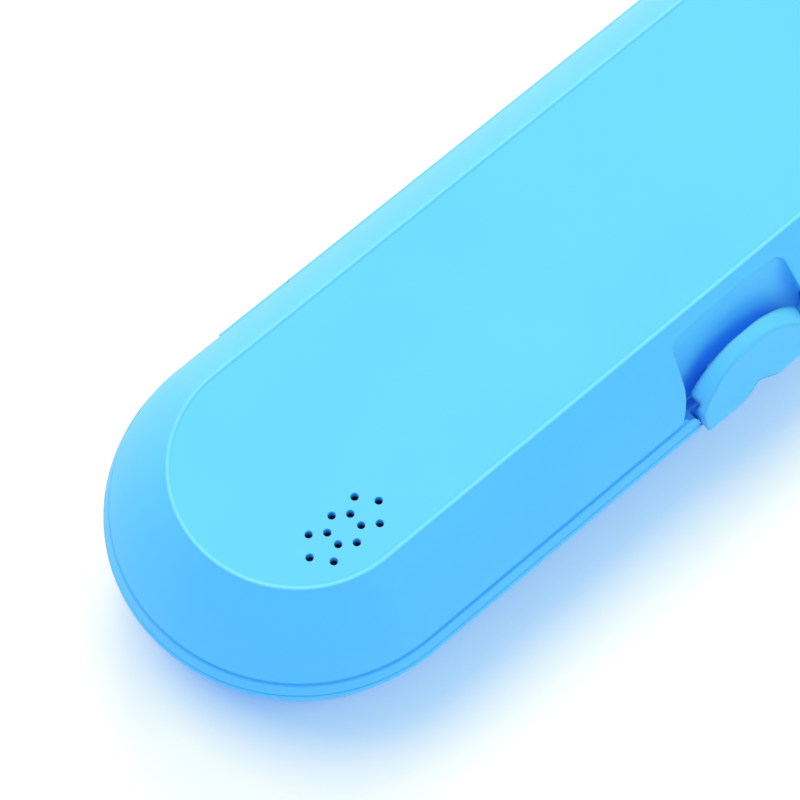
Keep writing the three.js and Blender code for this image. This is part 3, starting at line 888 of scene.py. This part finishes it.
def plastic(name, color, paler, deeper, roughness, grain=0.05, bead=None, soft=0.0):
    """Moulded plastic: a satin skin with fine grain and faint, slow changes of colour.

    The bead is a paler colour laid over the lid's bead as a painted highlight, and soft the radius
    by which edges look rounded.
    """
    material, nodes, links, main = shader(name, color, roughness, Specular_IOR_Level=0.18)
    place = nodes.new("ShaderNodeTexCoord")
    slow = nodes.new("ShaderNodeTexNoise")
    slow.inputs["Scale"].default_value = 28.0
    slow.inputs["Detail"].default_value = 2.0
    links.new(place.outputs["Object"], slow.inputs["Vector"])
    shades = nodes.new("ShaderNodeValToRGB")
    shades.color_ramp.elements[0].position = 0.3
    shades.color_ramp.elements[0].color = (*deeper, 1.0)
    shades.color_ramp.elements[1].position = 0.7
    shades.color_ramp.elements[1].color = (*paler, 1.0)
    links.new(slow.outputs["Fac"], shades.inputs["Fac"])
    links.new(shades.outputs["Color"], main.inputs["Base Color"])
    # Painted highlight: a paler colour over the height of the lid's bead.
    if bead:
        links.new(with_painted_bead_highlight(nodes, links, place, shades, bead), main.inputs["Base Color"])
    fine = nodes.new("ShaderNodeTexNoise")
    fine.inputs["Scale"].default_value = 5200.0
    fine.inputs["Detail"].default_value = 3.0
    links.new(place.outputs["Object"], fine.inputs["Vector"])
    bump = nodes.new("ShaderNodeBump")
    bump.inputs["Strength"].default_value = grain
    bump.inputs["Distance"].default_value = from_mm(0.05)
    if soft:
        rounded = nodes.new("ShaderNodeBevel")
        rounded.samples = 6
        rounded.inputs["Radius"].default_value = from_mm(soft)
        links.new(rounded.outputs["Normal"], bump.inputs["Normal"])
    links.new(fine.outputs["Fac"], bump.inputs["Height"])
    links.new(bump.outputs["Normal"], main.inputs["Normal"])
    sheen = nodes.new("ShaderNodeMapRange")
    sheen.inputs["To Min"].default_value = roughness - 0.04
    sheen.inputs["To Max"].default_value = roughness + 0.05
    links.new(slow.outputs["Fac"], sheen.inputs["Value"])
    links.new(sheen.outputs["Result"], main.inputs["Roughness"])
    return material


def steel(name):
    """Drawn steel wire: fine lines along its length."""
    material, nodes, links, main = shader(name, (0.52, 0.54, 0.56), 0.32, Metallic=1.0)
    place = nodes.new("ShaderNodeTexCoord")
    stretch = nodes.new("ShaderNodeMapping")
    stretch.inputs["Scale"].default_value = (120.0, 6000.0, 6000.0)
    links.new(place.outputs["Object"], stretch.inputs["Vector"])
    lines = nodes.new("ShaderNodeTexNoise")
    lines.inputs["Scale"].default_value = 1.0
    links.new(stretch.outputs["Vector"], lines.inputs["Vector"])
    spread = nodes.new("ShaderNodeMapRange")
    spread.inputs["To Min"].default_value = 0.22
    spread.inputs["To Max"].default_value = 0.44
    links.new(lines.outputs["Fac"], spread.inputs["Value"])
    links.new(spread.outputs["Result"], main.inputs["Roughness"])
    return material


CASE_BLUE = plastic(
    "sky_blue_plastic",
    (0.097, 0.533, 0.96),
    (0.100, 0.541, 0.965),
    (0.094, 0.525, 0.955),
    0.45,
    # A painted highlight: the paler colour laid over the lid's bead.
    bead=(0.155, 0.62, 0.98),
)
LATCH_BLUE = plastic(
    "latch_blue_plastic",
    (0.100, 0.545, 0.965),
    (0.104, 0.553, 0.97),
    (0.097, 0.537, 0.96),
    0.45,
    soft=1.2,
)
TRAY_WHITE = plastic(
    "white_plastic",
    (0.80, 0.84, 0.87),
    (0.82, 0.855, 0.88),
    (0.78, 0.825, 0.86),
    0.45,
    grain=0.08,
)
PAD_GREY = plastic(
    "soft_grey_rubber",
    (0.34, 0.44, 0.50),
    (0.36, 0.46, 0.52),
    (0.32, 0.42, 0.48),
    0.72,
    grain=0.25,
)
PIN_STEEL = steel("drawn_steel")


def finish(made, material, body, node, angle=30.0):
    """Brings a piece to metres, smooths it, and puts it in its place in the frame."""
    mesh = made.data
    mesh.transform(Matrix.Scale(METRES, 4))
    mesh.materials.clear()
    mesh.materials.append(material)
    for face in mesh.polygons:
        face.material_index = 0
    mesh.shade_smooth()
    mesh.set_sharp_from_angle(angle=math.radians(angle))
    weigh = made.modifiers.new("even_shading", "WEIGHTED_NORMAL")
    weigh.mode = "FACE_AREA"
    weigh.weight = 50
    weigh.keep_sharp = True
    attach(made, body)
    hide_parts(node)
    return made


finish(make_lid(), CASE_BLUE, "lid", "lid_shell")
finish(make_base(), CASE_BLUE, "base", "base_shell")
finish(make_latch(), LATCH_BLUE, "latch", "latch")
finish(make_tray(), TRAY_WHITE, "base", "inner_tray")
inner_pad = make_pad("inner_pad_dress", INNER_PAD_X)
finish(inner_pad, PAD_GREY, "base", "inner_grip_pad")
outer_pad = make_pad("outer_pad_dress", OUTER_PAD_X)
finish(outer_pad, PAD_GREY, "base", "outer_grip_pad")
finish(make_saddle(SADDLE_X), PAD_GREY, "base", "neck_saddle")
hinge_rod = bar("rod_dress", ROD_RADIUS, -ROD_HALF, ROD_HALF, HINGE_Y, HINGE_Z, 40, 0.2)
finish(hinge_rod, PIN_STEEL, "base", "hinge_rod")
latch_pin = bar("pin_dress", ROD_RADIUS, -PIN_HALF, PIN_HALF, -PIVOT_OUT, PIVOT_Z, 40, 0.2)
finish(latch_pin, PIN_STEEL, "base", "latch_pin")


# The floor, the light and the camera


def make_floor():
    """The white floor that the case stands on."""
    bm = bmesh.new()
    bmesh.ops.create_grid(bm, x_segments=1, y_segments=1, size=FLOOR_HALF)
    floor = form("floor", bm)
    floor.data.transform(Matrix.Scale(METRES, 4))
    material, *_ = shader("white_floor", (0.95, 0.96, 0.97), 0.9, Specular_IOR_Level=0.0)
    floor.data.materials.append(material)


def lamp(name, place, power, color):
    """A soft square lamp that faces the middle of the case's underside."""
    light = bpy.data.lights.new(name, "AREA")
    light.shape = "SQUARE"
    light.size = LAMP_SIDE
    light.energy = power
    light.color = color
    made = bpy.data.objects.new(name, light)
    bpy.context.scene.collection.objects.link(made)
    made.location = place
    made.rotation_mode = "QUATERNION"
    made.rotation_quaternion = (-Vector(place)).to_track_quat("-Z", "Y")


def make_light():
    """A pale blue surround and three warm lamps, which give a nearly white light together."""
    world = bpy.data.worlds.new("studio")
    bpy.context.scene.world = world
    world.use_nodes = True
    background = world.node_tree.nodes["Background"]
    background.inputs["Color"].default_value = (0.446, 0.664, 1.0, 1.0)
    background.inputs["Strength"].default_value = 1.016
    lamp("key", (0.9, 0.8, 1.0), 16.5, (1.0, 0.68, 0.14))
    lamp("back", (-0.2, 0.55, 1.35), 11.2, (1.0, 0.68, 0.06))
    lamp("front", (0.6, -1.0, 0.9), 5.2, (1.0, 0.80, 0.02))


def make_camera():
    """The camera of the photo, which sees the near end from above."""
    level = math.cos(CAMERA_TILT)
    right = Vector((math.cos(CAMERA_TURN), -math.sin(CAMERA_TURN), 0.0))
    ahead = Vector(
        (math.sin(CAMERA_TURN) * level, math.cos(CAMERA_TURN) * level, -math.sin(CAMERA_TILT))
    )
    up = right.cross(ahead)
    pivot = Vector((-END_X, 0.0, TOP_Z))
    eye = pivot - ahead * CAMERA_DEPTH + right * CAMERA_ACROSS + up * CAMERA_UP
    camera = bpy.data.cameras.new("camera")
    camera.lens = CAMERA_LENS
    camera.sensor_width = CAMERA_SENSOR
    camera.clip_start, camera.clip_end = 0.01, 10.0
    made = bpy.data.objects.new("camera", camera)
    bpy.context.scene.collection.objects.link(made)
    turned = Matrix((right, up, -ahead)).transposed().to_4x4()
    made.matrix_world = Matrix.Translation(eye * METRES) @ turned
    bpy.context.scene.camera = made


make_floor()
make_light()
make_camera()
bpy.context.scene.view_settings.view_transform = "Standard"
bpy.context.scene.cycles.max_bounces = 20
bpy.context.scene.cycles.diffuse_bounces = 16
